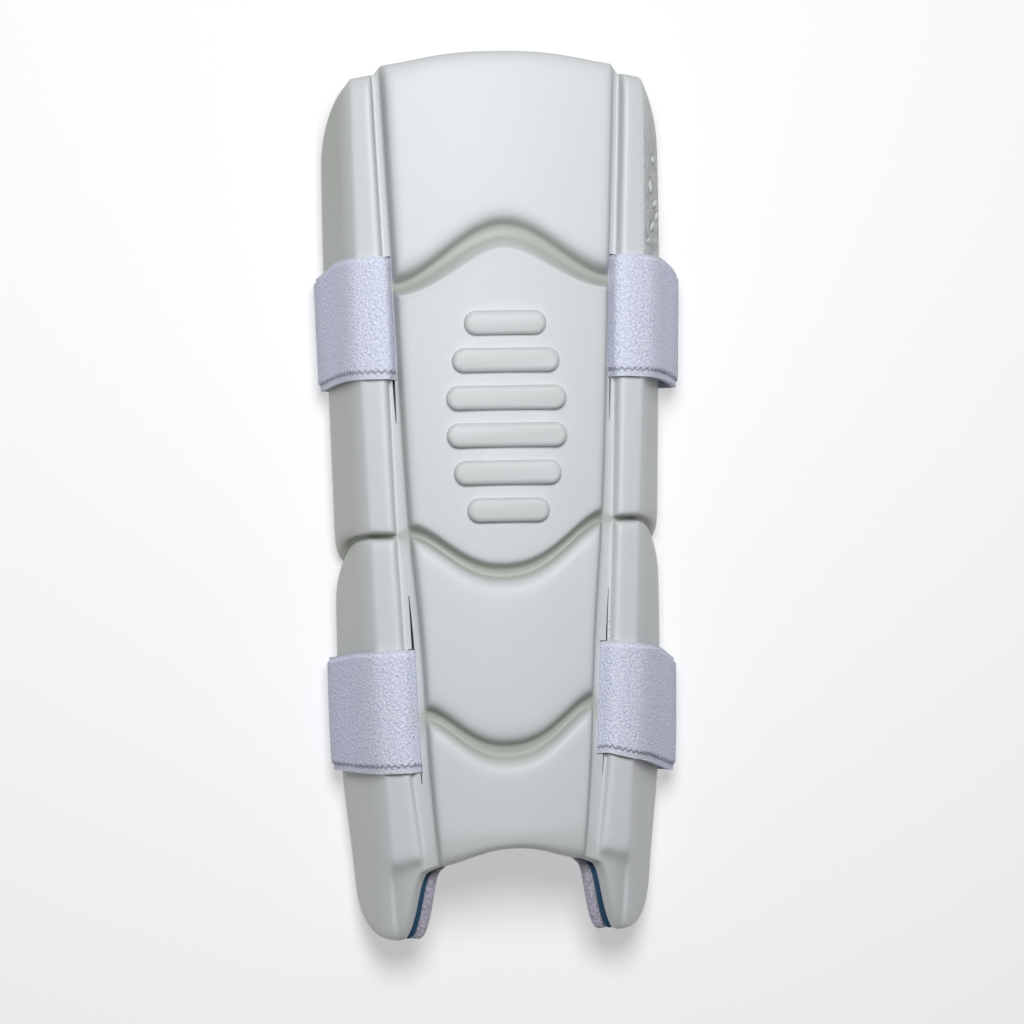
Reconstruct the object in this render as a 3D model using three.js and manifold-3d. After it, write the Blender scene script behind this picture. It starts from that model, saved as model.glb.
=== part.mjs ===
// Cricket arm guard: one moulded foam face over a backing sheet and a lining, held by two elastic straps.
// Millimetres. X runs across the guard, Y along it with the elbow end at +Y, and Z up through the face.
import * as THREE from "three";
import { mergeVertices } from "three/addons/utils/BufferGeometryUtils.js";
import Module from "manifold-3d";

const wasm = await Module();
wasm.setup();

// Driving sizes of the moulded face
const LENGTH = 270;
const HALF_WIDTH = 52.9;
const CROWN_HEIGHT = 44;
const CROWN_FALL = 2.4;
const GROOVE_DEPTH = 4.8;
const GROOVE_WALL = 5;
const WING_WALL = 3.6;
const BOLSTER_STAND = 3;
const BOLSTER_HEIGHT = 37;
const RIDGE_HEIGHT = 33.8;
const BASE_ROUNDNESS = 2.4;

// Driving sizes of the layers behind it and of the straps
const BACKING_THICKNESS = 1.2;
const LINING_THICKNESS = 3;
const STRAP_WIDTH = 37.5;
const STRAP_THICKNESS = 2;
const STRAP_DROOP = 3.6;
const STRAP_END_GAP = 4;
const HOOK_LENGTH = 60;
const HOOK_THICKNESS = 1.2;
const CLEARANCE = 0.3;
const SLIT_WIDTH = 0.8;

// Raised ribs on the middle plate. The middle of the row is a share of the length from the elbow end, and
// the plate lies under the crown by a share of the groove's depth.
const RIBS_AT = 0.415;
const PLATE_DROP = 0.1;
const RIB_SOFTNESS = 1.1;
const RIB_COUNT = 6;
const RIB_HEIGHT = 7.4;
const RIB_PITCH = 11.4;
const RIB_RISE = 2.2;
const RIB_MIDDLE_LENGTH = 37;
const RIB_END_LENGTH = 25;

// The wing edges rest on the straps, and the straps on the hook tabs.
const STRAP_FLOOR = HOOK_THICKNESS + CLEARANCE;
const RIM_HEIGHT = STRAP_FLOOR + STRAP_THICKNESS + CLEARANCE;
const STRAP_STAND = CLEARANCE + STRAP_THICKNESS / 2;

// Widths along the guard. at: share of the length from the elbow end. The other columns are shares of
// the half width, apart from rise, the share of the full height over the rim.
const PLAN = table(["at", "column", "web", "ridge", "rim", "rise"], [
  [0.0, 0.685, 0.042, 0.855, 0.995, 0.97],
  [0.1, 0.664, 0.044, 0.852, 1.0, 0.99],
  [0.22, 0.635, 0.047, 0.84, 1.0, 1.0],
  [0.38, 0.602, 0.055, 0.822, 0.98, 1.0],
  [0.53, 0.562, 0.07, 0.79, 0.962, 1.0],
  [0.66, 0.505, 0.096, 0.763, 0.96, 0.995],
  [0.8, 0.472, 0.1, 0.725, 0.945, 0.975],
  [0.92, 0.422, 0.08, 0.69, 0.885, 0.95],
  [1.0, 0.395, 0.065, 0.665, 0.85, 0.93],
]);

// Lines across the moulding, from the elbow end to the wrist end. mid, edge, foot, ridge and rim are
// shares of the length where the line crosses the centre, the column's edge, the bolster's foot, the
// ridge and the rim. bend shapes the line between mid and edge, and slant tips it across the guard.
// pad, bolster and side say how far the relief stands there, from 0 at the groove floor to 1.
const LINES = table(
  ["mid", "edge", "foot", "ridge", "rim", "bend", "slant", "pad", "bolster", "side"],
  [
    [0.0, 0.013, 0.023, 0.025, 0.105, 1.6, 0.0, 0.35, 0.3, 0.5],
    [0.004, 0.017, 0.027, 0.029, 0.108, 1.6, 0.0, 0.82, 0.78, 0.85],
    [0.014, 0.027, 0.038, 0.04, 0.116, 1.6, 0.0, 1.0, 1.0, 1.0],
    [0.07, 0.085, 0.09, 0.09, 0.14, 1.4, 0.0, 1.0, 1.0, 1.0],
    [0.13, 0.165, 0.15, 0.15, 0.175, 1.2, 0.01, 1.0, 1.0, 1.0],
    [0.175, 0.236, 0.205, 0.205, 0.21, 1.0, 0.03, 1.0, 1.0, 1.0],
    [0.187, 0.25, 0.235, 0.235, 0.235, 1.0, 0.03, 0.86, 1.0, 1.0],
    [0.194, 0.257, 0.258, 0.258, 0.258, 1.0, 0.03, 0.16, 1.0, 1.0],
    [0.208, 0.265, 0.28, 0.28, 0.28, 0.95, 0.03, 0.05, 1.0, 1.0],
    [0.222, 0.2735, 0.3, 0.3, 0.3, 0.85, 0.03, 0.24, 1.0, 1.0],
    [0.229, 0.279, 0.318, 0.318, 0.318, 0.78, 0.03, 0.84, 1.0, 1.0],
    [0.235, 0.285, 0.335, 0.335, 0.335, 0.78, 0.03, 0.9, 1.0, 1.0],
    [0.29, 0.326, 0.37, 0.37, 0.37, 1.0, 0.03, 0.9, 1.0, 1.0],
    [0.37, 0.376, 0.41, 0.41, 0.41, 1.0, 0.04, 0.9, 1.0, 1.0],
    [0.45, 0.43, 0.455, 0.455, 0.455, 1.0, 0.05, 0.9, 1.0, 1.0],
    [0.52, 0.48, 0.498, 0.498, 0.5, 1.2, 0.06, 0.9, 1.0, 1.0],
    [0.567, 0.514, 0.525, 0.522, 0.53, 1.4, 0.065, 0.9, 1.0, 1.0],
    [0.58, 0.527, 0.534, 0.533, 0.548, 1.4, 0.065, 0.87, 0.9, 0.86],
    [0.586, 0.532, 0.539, 0.538, 0.558, 1.4, 0.065, 0.2, 0.16, 0.42],
    [0.594, 0.539, 0.545, 0.546, 0.568, 1.4, 0.065, 0.08, 0.1, 0.3],
    [0.602, 0.546, 0.551, 0.552, 0.577, 1.4, 0.065, 0.45, 0.82, 0.6],
    [0.612, 0.556, 0.559, 0.561, 0.59, 1.4, 0.065, 0.85, 0.97, 0.9],
    [0.628, 0.571, 0.578, 0.58, 0.606, 1.4, 0.065, 1.0, 1.0, 1.0],
    [0.667, 0.615, 0.625, 0.627, 0.64, 1.3, 0.05, 1.0, 1.0, 1.0],
    [0.71, 0.665, 0.68, 0.68, 0.683, 1.3, 0.05, 1.0, 1.0, 1.0],
    [0.755, 0.71, 0.728, 0.728, 0.728, 1.4, 0.065, 1.0, 1.0, 1.0],
    [0.779, 0.731, 0.75, 0.75, 0.75, 1.4, 0.065, 0.83, 1.0, 1.0],
    [0.79, 0.7405, 0.77, 0.77, 0.77, 1.4, 0.065, 0.24, 1.0, 1.0],
    [0.801, 0.75, 0.79, 0.79, 0.79, 1.4, 0.065, 0.1, 1.0, 1.0],
    [0.813, 0.76, 0.81, 0.81, 0.808, 1.4, 0.065, 0.58, 1.0, 1.0],
    [0.822, 0.769, 0.83, 0.83, 0.826, 1.4, 0.065, 0.9, 1.0, 1.0],
    [0.838, 0.79, 0.855, 0.855, 0.848, 1.3, 0.05, 0.97, 1.0, 1.0],
    [0.862, 0.835, 0.885, 0.885, 0.872, 1.2, 0.04, 0.97, 1.0, 1.0],
    [0.882, 0.878, 0.907, 0.911, 0.893, 1.2, 0.035, 0.97, 1.0, 1.0],
    [0.891, 0.896, 0.912, 0.92, 0.906, 1.2, 0.035, 0.95, 0.72, 1.0],
    [0.8965, 0.906, 0.916, 0.932, 0.918, 1.2, 0.035, 0.86, 0.3, 1.0],
    [0.9, 0.914, 0.92, 0.964, 0.936, 1.2, 0.035, 0.66, 0.12, 1.0],
    [0.902, 0.918, 0.9235, 0.992, 0.954, 1.2, 0.035, 0.4, 0.06, 0.85],
    [0.903, 0.9195, 0.9255, 1.0, 0.96, 1.2, 0.035, 0.0, -0.4, 0.4],
  ],
);

// Places across one half. A pad or web place is a share of the column's or web's width, a bolster
// place a share of the way from foot to ridge, and a side place goes out and down from the ridge. lift
// is how high it lies, sway how far along its two lines. The layers behind use the places with layers 1.
const PLACES = table(["zone", "across", "lift", "sway", "layers"], [
  ["pad", 0.0, 1.0, 0.0, 1],
  ["pad", 0.25, 1.0, 0.0, 0],
  ["pad", 0.5, 1.0, 0.0, 1],
  ["pad", 0.73, 1.0, 0.0, 0],
  ["pad", 0.9, 1.0, 0.0, 1],
  ["pad", 0.965, 0.78, 0.0, 0],
  ["pad", 1.0, 0.1, 0.0, 1],
  ["web", 0.5, 0.0, 0.0, 0],
  ["web", 1.0, 0.0, 0.0, 1],
  ["bolster", 0.13, 0.78, 0.1, 0],
  ["bolster", 0.34, 1.0, 0.36, 1],
  ["bolster", 0.84, 1.0, 0.86, 0],
  ["side", 0.05, 0.04, 0.0, 1],
  ["side", 0.42, 0.36, 0.14, 1],
  ["side", 0.86, 0.66, 0.46, 1],
  ["side", 1.0, 0.84, 0.78, 1],
  ["side", 0.95, 0.95, 0.96, 0],
  ["side", 0.62, 1.0, 1.0, 1],
]);

// Next to the ridge, a side place stands this far from the bolster's relief to the side's
const RIDGE_BLEND = 0.35;

// A strap's place along the length and the knife cut that it comes out of, as shares of the length
const STRAPS = table(["name", "start", "slant", "cutStart", "cutEnd"], [
  ["upper", 0.2315, 0.0, 0.2285, 0.42],
  ["lower", 0.674, 0.025, 0.613, 0.826],
]);

// Stops of a strap's middle on one side. across and down place a stop on its run: behind goes from the
// centre to the cut, front from the bolster's foot to its ridge, side from the ridge out and down to the
// rim, and under from the centre to the rim. out and up move it from there, in stands of the strap, and
// droop moves it towards the wrist end, as a share of the strap's droop round the side.
const STRAP_STOPS = table(["run", "across", "down", "out", "up", "droop"], [
  ["behind", 0.0, 0.0, 0.0, 0.0, 0.0],
  ["behind", 0.3, 0.04, 0.0, 0.0, 0.0],
  ["behind", 0.6, 0.27, 0.0, 0.0, 0.0],
  ["behind", 0.82, 0.6, 0.0, 0.0, 0.0],
  ["behind", 1.0, 1.0, -0.38, 0.0, 0.0],
  ["front", 0.1, 0.0, -0.38, -0.08, 0.0],
  ["front", 0.34, 0.0, 0.1, 1.0, 0.0],
  ["front", 0.84, 0.0, 0.25, 1.0, 0.05],
  ["side", 0.0, 0.0, 1.0, -0.2, 0.2],
  ["side", 0.42, 0.36, 1.45, 0.4, 0.6],
  ["side", 0.86, 0.66, 1.7, 0.25, 0.85],
  ["side", 1.0, 0.84, 1.6, 0.1, 0.95],
  ["under", 1.0, 0.0, 1.23, 2.0, 1.0],
  ["under", 1.0, 0.0, 0.46, 0.62, 1.0],
  ["under", 1.0, 0.0, -1.23, 0.0, 1.0],
  ["under", 0.6, 0.0, 0.0, 0.0, 1.0],
  ["under", 0.0, 0.0, 0.0, 0.0, 1.0],
]);

// The strap lies this many stands under the groove floor where it enters the cut, and the stops up to
// here are cleared through the moulding.
const CUT_SINK = 1.08;
const CLEARED_STOPS = 7;

// Readings and arithmetic

function table(names, rows) {
  return rows.map((row) => Object.fromEntries(names.map((name, i) => [name, row[i]])));
}

function mix(a, b, share) {
  return a + (b - a) * share;
}

// A smooth reading of one column of PLAN at a share of the length
function reading(name, at) {
  const last = PLAN.length - 1;
  let i = PLAN.findIndex((row, k) => k < last && at < PLAN[k + 1].at);
  if (i < 0) i = last - 1;
  const from = PLAN[i];
  const to = PLAN[i + 1];
  const before = PLAN[Math.max(i - 1, 0)];
  const after = PLAN[Math.min(i + 2, last)];
  const span = to.at - from.at;
  const t = THREE.MathUtils.clamp((at - from.at) / span, 0, 1);
  const slopeIn = ((to[name] - before[name]) / (to.at - before.at)) * span;
  const slopeOut = ((after[name] - from[name]) / (after.at - from.at)) * span;
  const t2 = t * t;
  const t3 = t2 * t;
  return (
    (2 * t3 - 3 * t2 + 1) * from[name] +
    (t3 - 2 * t2 + t) * slopeIn +
    (3 * t2 - 2 * t3) * to[name] +
    (t3 - t2) * slopeOut
  );
}

// The named widths and heights of the cross-section at a distance s from the elbow end
function section(s) {
  const at = s / LENGTH;
  const column = HALF_WIDTH * reading("column", at);
  const foot = column + HALF_WIDTH * reading("web", at);
  const ridge = HALF_WIDTH * reading("ridge", at);
  const rim = HALF_WIDTH * reading("rim", at);
  const rise = reading("rise", at);
  const over = (height) => RIM_HEIGHT + (height - RIM_HEIGHT) * rise;
  return {
    column,
    foot,
    ridge,
    rim,
    crown: over(CROWN_HEIGHT),
    bolster: over(BOLSTER_HEIGHT),
    ridgeTop: over(RIDGE_HEIGHT),
    base: { half: rim - BOLSTER_STAND, top: over(CROWN_HEIGHT - GROOVE_DEPTH) },
    inner: {
      half: rim - BOLSTER_STAND - WING_WALL,
      top: over(CROWN_HEIGHT - GROOVE_DEPTH - GROOVE_WALL),
    },
  };
}

// A rounded arch from rim to rim, and the same arch drawn in by an inset
function inset(arch, by) {
  return { half: arch.half - by, top: arch.top - by };
}

function archHeight(arch, x) {
  const share = Math.min(Math.abs(x) / arch.half, 1);
  const up = Math.pow(1 - Math.pow(share, BASE_ROUNDNESS), 1 / BASE_ROUNDNESS);
  return RIM_HEIGHT + (arch.top - RIM_HEIGHT) * up;
}

function archHalf(arch, z) {
  const share = THREE.MathUtils.clamp((z - RIM_HEIGHT) / (arch.top - RIM_HEIGHT), 0, 1);
  return arch.half * Math.pow(1 - Math.pow(share, BASE_ROUNDNESS), 1 / BASE_ROUNDNESS);
}

// Where a place of PLACES lies across the section
function acrossOf(place, cut) {
  if (place.zone === "pad") return cut.column * place.across;
  if (place.zone === "web") return mix(cut.column, cut.foot, place.across);
  return mix(cut.foot, cut.ridge, place.across);
}

// The point of an arch that belongs to a place
function archPoint(place, cut, arch) {
  const scale = arch.half / cut.base.half;
  if (place.zone === "side") {
    const top = archHeight(arch, cut.ridge * scale);
    const z = mix(top, RIM_HEIGHT, place.lift);
    return [archHalf(arch, z), z];
  }
  const x = acrossOf(place, cut) * scale;
  return [x, archHeight(arch, x)];
}

// The point of the full relief that belongs to a place
function reliefPoint(place, cut) {
  if (place.zone === "side") {
    return [mix(cut.ridge, cut.rim, place.across), mix(cut.ridgeTop, RIM_HEIGHT, place.lift)];
  }
  const x = acrossOf(place, cut);
  const floor = archHeight(cut.base, x);
  if (place.zone === "web") return [x, floor];
  const padTop = cut.crown - CROWN_FALL * place.across ** 2;
  const bolsterTop = mix(cut.bolster, cut.ridgeTop, place.across);
  const top = place.zone === "pad" ? padTop : bolsterTop;
  return [x, mix(floor, top, place.lift)];
}

// How far the relief of a line stands at a place. Near the ridge a side place follows both facets.
function reliefAt(place, line) {
  if (place.zone === "web") return Math.min(line.bolster, 0);
  if (place.zone === "side") return mix(line.bolster, line.side, Math.min(RIDGE_BLEND + place.across, 1));
  return line[place.zone];
}

// A point of the outside face: the relief stands over the base arch, and a negative one thins the wall
function facePoint(place, cut, line) {
  const floor = archPoint(place, cut, cut.base);
  const share = reliefAt(place, line);
  const goal = share < 0 ? archPoint(place, cut, cut.inner) : reliefPoint(place, cut);
  return [mix(floor[0], goal[0], Math.abs(share)), mix(floor[1], goal[1], Math.abs(share))];
}

// How far from the elbow end a line runs at a place
function lineAt(line, place) {
  if (place.zone === "pad") {
    const ease = (1 - Math.cos(Math.PI * Math.pow(place.across, line.bend))) / 2;
    return LENGTH * mix(line.mid, line.edge, ease);
  }
  if (place.zone === "web") return LENGTH * mix(line.edge, line.foot, place.across);
  if (place.zone === "bolster") return LENGTH * mix(line.foot, line.ridge, place.sway);
  return LENGTH * mix(line.ridge, line.rim, place.sway);
}

// Closed shells

// One row of points for both halves, from the left rim to the right rim
function row(places, line, pointOf) {
  const side = (place, sign) => {
    const s = lineAt(line, place);
    const [x, z] = pointOf(place, section(s));
    return new THREE.Vector3(sign * x, LENGTH / 2 - s + line.slant * sign * x, z);
  };
  const left = places.slice(1).reverse();
  return [...left.map((place) => side(place, -1)), ...places.map((place) => side(place, 1))];
}

// A closed shell between two grids of points of the same size
function shell(upper, lower) {
  const rows = upper.length;
  const columns = upper[0].length;
  const points = [...upper.flat(), ...lower.flat()];
  const index = [];
  const quad = (a, b, c, d) => index.push(a, b, c, a, c, d);
  const top = (r, c) => r * columns + c;
  const under = (r, c) => rows * columns + r * columns + c;
  for (let r = 0; r < rows - 1; r++) {
    for (let c = 0; c < columns - 1; c++) {
      quad(top(r, c), top(r + 1, c), top(r + 1, c + 1), top(r, c + 1));
      quad(under(r, c), under(r, c + 1), under(r + 1, c + 1), under(r + 1, c));
    }
    quad(top(r, 0), under(r, 0), under(r + 1, 0), top(r + 1, 0));
    quad(top(r, columns - 1), top(r + 1, columns - 1), under(r + 1, columns - 1), under(r, columns - 1));
  }
  for (let c = 0; c < columns - 1; c++) {
    quad(top(0, c), top(0, c + 1), under(0, c + 1), under(0, c));
    quad(top(rows - 1, c), under(rows - 1, c), under(rows - 1, c + 1), top(rows - 1, c + 1));
  }
  const geometry = new THREE.BufferGeometry().setFromPoints(points);
  geometry.setIndex(index);
  return geometry;
}

function solid(geometry) {
  const bare = geometry.index ? geometry.toNonIndexed() : geometry.clone();
  bare.deleteAttribute("normal");
  bare.deleteAttribute("uv");
  const merged = mergeVertices(bare, 1e-3);
  return new wasm.Manifold(
    new wasm.Mesh({
      numProp: 3,
      vertProperties: merged.attributes.position.array,
      triVerts: new Uint32Array(merged.index.array),
    }),
  );
}

function geometryOf(manifold) {
  const mesh = manifold.getMesh();
  const geometry = new THREE.BufferGeometry();
  geometry.setAttribute("position", new THREE.BufferAttribute(mesh.vertProperties, 3));
  geometry.setIndex(new THREE.BufferAttribute(mesh.triVerts, 1));
  return geometry;
}

// Straps

// The middle of a strap on one side, from behind the column, out of the cut, over the bolster and
// round the rim to its end behind the guard
function strapPath(s) {
  const cut = section(s);
  const slit = (cut.column + cut.foot) / 2;
  const hidden = cut.inner.top + STRAP_THICKNESS / 2;
  const entry = archHeight(cut.base, slit) - CUT_SINK * STRAP_STAND;
  const floor = STRAP_FLOOR + STRAP_THICKNESS / 2;
  const runs = {
    behind: (stop) => [slit * stop.across, mix(hidden, entry, stop.down)],
    front: (stop) => [mix(cut.foot, cut.ridge, stop.across), mix(cut.bolster, cut.ridgeTop, stop.across)],
    side: (stop) => [mix(cut.ridge, cut.rim, stop.across), mix(cut.ridgeTop, RIM_HEIGHT, stop.down)],
    under: (stop) => [mix(STRAP_END_GAP / 2, cut.rim, stop.across), floor],
  };
  return STRAP_STOPS.map((stop) => {
    const [x, z] = runs[stop.run](stop);
    return [x + stop.out * STRAP_STAND, z + stop.up * STRAP_STAND];
  });
}

// The strap's path moved square to itself by a distance, to one side or the other
function offsetPath(path, by) {
  return path.map(([x, z], i) => {
    const [x0, z0] = path[Math.max(i - 1, 0)];
    const [x1, z1] = path[Math.min(i + 1, path.length - 1)];
    const run = Math.hypot(x1 - x0, z1 - z0);
    return [x - ((z1 - z0) / run) * by, z + ((x1 - x0) / run) * by];
  });
}

// A band along the first steps of the path, on both sides of the guard
function band(strap, grow, steps) {
  const rows = 6;
  const faces = [1, -1].map((face) =>
    Array.from({ length: rows }, (unused, r) => {
      const s = strap.start * LENGTH - grow + ((STRAP_WIDTH + 2 * grow) * r) / (rows - 1);
      const path = strapPath(s).slice(0, steps);
      const half = offsetPath(path, face * (STRAP_THICKNESS / 2 + grow));
      half[0][0] = 0;
      const side = (sign) =>
        half.map(([x, z], i) => {
          const y = LENGTH / 2 - s - STRAP_DROOP * STRAP_STOPS[i].droop;
          return new THREE.Vector3(sign * x, y + strap.slant * sign * x, z);
        });
      return [...side(-1).slice(1).reverse(), ...side(1)];
    }),
  );
  return shell(faces[0], faces[1]);
}

// A knife cut through the web on one side, a thin blade along the middle of the web
function slitBlade(strap, side) {
  const steps = 4;
  const grids = [1, -1].map((face) =>
    Array.from({ length: steps + 1 }, (unused, i) => {
      const s = LENGTH * mix(strap.cutStart, strap.cutEnd, i / steps);
      const cut = section(s);
      const x = side * ((cut.column + cut.foot) / 2) + (face * SLIT_WIDTH) / 2;
      const y = LENGTH / 2 - s + strap.slant * x;
      return [new THREE.Vector3(x, y, CROWN_HEIGHT), new THREE.Vector3(x, y, RIM_HEIGHT)];
    }),
  );
  return shell(grids[0], grids[1]);
}

// A rib with round ends and a soft top edge, lying across the plate
function rib(index) {
  const middle = (RIB_COUNT - 1) / 2;
  const off = Math.abs(index - middle) / middle;
  const length = mix(RIB_MIDDLE_LENGTH, RIB_END_LENGTH, off ** 2);
  const radius = RIB_HEIGHT / 2 - RIB_SOFTNESS;
  const reach = length / 2 - RIB_HEIGHT / 2;
  const shape = new THREE.Shape();
  shape.absarc(reach, 0, radius, -Math.PI / 2, Math.PI / 2, false);
  shape.absarc(-reach, 0, radius, Math.PI / 2, (3 * Math.PI) / 2, false);
  shape.closePath();
  const body = new THREE.ExtrudeGeometry(shape, {
    depth: GROOVE_DEPTH + RIB_RISE - 2 * RIB_SOFTNESS,
    bevelSize: RIB_SOFTNESS,
    bevelThickness: RIB_SOFTNESS,
    bevelSegments: 1,
    curveSegments: 4,
  });
  const s = LENGTH * RIBS_AT + (index - middle) * RIB_PITCH;
  const bottom = section(s).crown - (1 + PLATE_DROP) * GROOVE_DEPTH;
  body.translate(0, LENGTH / 2 - s, bottom + RIB_SOFTNESS);
  return body;
}

// Pieces

function faceMoulding() {
  const outside = LINES.map((line) => row(PLACES, line, (place, cut) => facePoint(place, cut, line)));
  const inside = LINES.map((line) =>
    row(PLACES, line, (place, cut) => archPoint(place, cut, cut.inner)),
  );
  let made = solid(shell(outside, inside));
  for (let i = 0; i < RIB_COUNT; i++) made = made.add(solid(rib(i)));
  for (const strap of STRAPS) {
    made = made.subtract(solid(band(strap, CLEARANCE, CLEARED_STOPS)));
    for (const side of [-1, 1]) made = made.subtract(solid(slitBlade(strap, side)));
  }
  return geometryOf(made);
}

// A plain layer behind the moulding, between two insets from its inner face
function layer(outer, inner) {
  const places = PLACES.filter((place) => place.layers);
  const steps = 10;
  const first = LINES[0];
  const last = LINES[LINES.length - 1];
  const lines = Array.from({ length: steps + 1 }, (unused, i) => {
    const blended = {};
    for (const name of Object.keys(first)) blended[name] = mix(first[name], last[name], i / steps);
    return blended;
  });
  const face = (by) =>
    lines.map((line) => row(places, line, (place, cut) => archPoint(place, cut, inset(cut.inner, by))));
  return shell(face(outer), face(inner));
}

function backingSheet() {
  return layer(CLEARANCE, CLEARANCE + BACKING_THICKNESS);
}

function liningPad() {
  const outer = 2 * CLEARANCE + BACKING_THICKNESS;
  return layer(outer, outer + LINING_THICKNESS);
}

function hookTab(strap) {
  const tab = new THREE.BoxGeometry(HOOK_LENGTH, STRAP_WIDTH, HOOK_THICKNESS);
  const middle = strap.start * LENGTH + STRAP_WIDTH / 2 + STRAP_DROOP;
  tab.translate(0, LENGTH / 2 - middle, HOOK_THICKNESS / 2);
  return tab;
}

// Assembly

const foam = { color: "#dcdfdd", roughness: 0.55, metalness: 0 };
const backing = { color: "#1f5078", roughness: 0.8, metalness: 0 };
const towelling = { color: "#b9b8c8", roughness: 0.95, metalness: 0 };
const elastic = { color: "#cfd0e6", roughness: 0.95, metalness: 0 };
const hook = { color: "#e6e6ea", roughness: 0.7, metalness: 0 };

const guard = new THREE.Group();

function add(name, geometry, finish) {
  const mesh = new THREE.Mesh(geometry, new THREE.MeshStandardMaterial(finish));
  mesh.name = name;
  guard.add(mesh);
}

add("face_moulding", faceMoulding(), foam);
add("backing_sheet", backingSheet(), backing);
add("lining_pad", liningPad(), towelling);
for (const strap of STRAPS) {
  add(strap.name + "_strap", band(strap, 0), elastic);
  add(strap.name + "_hook_tab", hookTab(strap), hook);
}

// The origin is the middle of the guard's box on the floor.
const box = new THREE.Box3().setFromObject(guard);
const middle = box.getCenter(new THREE.Vector3());
for (const mesh of guard.children) mesh.geometry.translate(-middle.x, -middle.y, -box.min.z);

export default guard;
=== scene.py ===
# %% [markdown]
# # Cricket arm guard
# The guard is one thick foam moulding that curves round the forearm, with a thin blue foam sheet and a pale
# towelling lining behind it, and two wide elastic straps that come out of knife cuts in the foam. It lies on
# its back, so the camera looks straight down on the padded face. Sizes are in millimetres in the tables and
# in metres in the scene.

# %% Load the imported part
import math

import bpy
import numpy as np
from mathutils import Matrix, Vector, noise


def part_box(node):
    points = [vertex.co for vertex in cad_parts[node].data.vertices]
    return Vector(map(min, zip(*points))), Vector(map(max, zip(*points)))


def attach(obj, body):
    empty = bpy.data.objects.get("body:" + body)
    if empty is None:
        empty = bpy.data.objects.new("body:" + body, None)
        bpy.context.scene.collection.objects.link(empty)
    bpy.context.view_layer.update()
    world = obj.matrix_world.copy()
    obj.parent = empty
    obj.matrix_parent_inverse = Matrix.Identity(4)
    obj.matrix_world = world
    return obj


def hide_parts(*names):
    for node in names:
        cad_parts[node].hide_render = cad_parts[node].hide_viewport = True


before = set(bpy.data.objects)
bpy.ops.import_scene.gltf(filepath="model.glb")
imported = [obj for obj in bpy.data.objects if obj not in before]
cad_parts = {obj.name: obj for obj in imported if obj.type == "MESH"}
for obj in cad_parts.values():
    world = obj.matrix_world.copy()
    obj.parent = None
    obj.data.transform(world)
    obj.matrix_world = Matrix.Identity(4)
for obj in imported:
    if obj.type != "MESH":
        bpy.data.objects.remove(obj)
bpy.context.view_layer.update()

# %% [markdown]
# ## The camera
# It looks down from 1.3 m with a long lens, a little from the left, and turned by one degree, because
# the guard isn't quite square to the photo's frame. It could be aimed with a constraint, but its three
# directions are short to write out, and then the roll is exact.

# %% Camera
LOOKED_AT = Vector((0, 0, 0.025))
CAMERA_DISTANCE = 1.3
CAMERA_TILT = (math.radians(5.97), math.radians(0.83))
CAMERA_ROLL = math.radians(1.08)
CAMERA_LENS = 148.2
CAMERA_SHIFT = (0.0099, -0.017)
back = Vector((-math.tan(CAMERA_TILT[0]), -math.tan(CAMERA_TILT[1]), 1)).normalized()
right = Vector((math.sin(CAMERA_ROLL), math.cos(CAMERA_ROLL), 0)).cross(back).normalized()
turned = Matrix((right, back.cross(right), back)).transposed().to_4x4()
camera = bpy.data.objects.new("camera", bpy.data.cameras.new("camera"))
bpy.context.collection.objects.link(camera)
camera.matrix_world = Matrix.Translation(LOOKED_AT + back * CAMERA_DISTANCE) @ turned
camera.data.lens = CAMERA_LENS
camera.data.shift_x, camera.data.shift_y = CAMERA_SHIFT
bpy.context.scene.camera = camera
print("camera at", [round(v, 3) for v in camera.location])

# %% [markdown]
# ## Sizes and tables
# The foam is drawn with the same named sizes and tables as the part's source, so that what is seen sits
# on the solids. It could be shaped by eye over them, but a table can be measured against the photo line by
# line. PLAN gives widths along the guard, LINES the wavy lines across it, and PLACES the places where each
# line is bent on its way from the middle to the rim.

# %% Named sizes in millimetres
MM = 0.001
LENGTH = 270
HALF_WIDTH = 52.9
CROWN_HEIGHT = 44
CROWN_FALL = 2.4
GROOVE_DEPTH = 4.8
GROOVE_WALL = 5
WING_WALL = 3.6
BOLSTER_STAND = 3
BOLSTER_HEIGHT = 37
RIDGE_HEIGHT = 33.8
BASE_ROUNDNESS = 2.4
STRAP_WIDTH = 37.5
STRAP_THICKNESS = 2
STRAP_END_GAP = 4
CLEARANCE = 0.3
STRAP_FLOOR = 1.5
RIM_HEIGHT = 3.8
STRAP_STAND = CLEARANCE + STRAP_THICKNESS / 2


def table(names, rows):
    return [dict(zip(names.split(), row)) for row in rows]


# %% Widths along the guard, as shares of the half width
PLAN = table("at column web ridge rim rise", [
    (0.0, 0.685, 0.042, 0.855, 0.995, 0.97),
    (0.1, 0.664, 0.044, 0.852, 1.0, 0.99),
    (0.22, 0.635, 0.047, 0.84, 1.0, 1.0),
    (0.38, 0.602, 0.055, 0.822, 0.98, 1.0),
    (0.53, 0.562, 0.07, 0.79, 0.962, 1.0),
    (0.66, 0.505, 0.096, 0.763, 0.96, 0.995),
    (0.8, 0.472, 0.1, 0.725, 0.945, 0.975),
    (0.92, 0.422, 0.08, 0.69, 0.885, 0.95),
    (1.0, 0.395, 0.065, 0.665, 0.85, 0.93),
])
print("widths are given at", len(PLAN), "distances from the elbow end")

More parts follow.
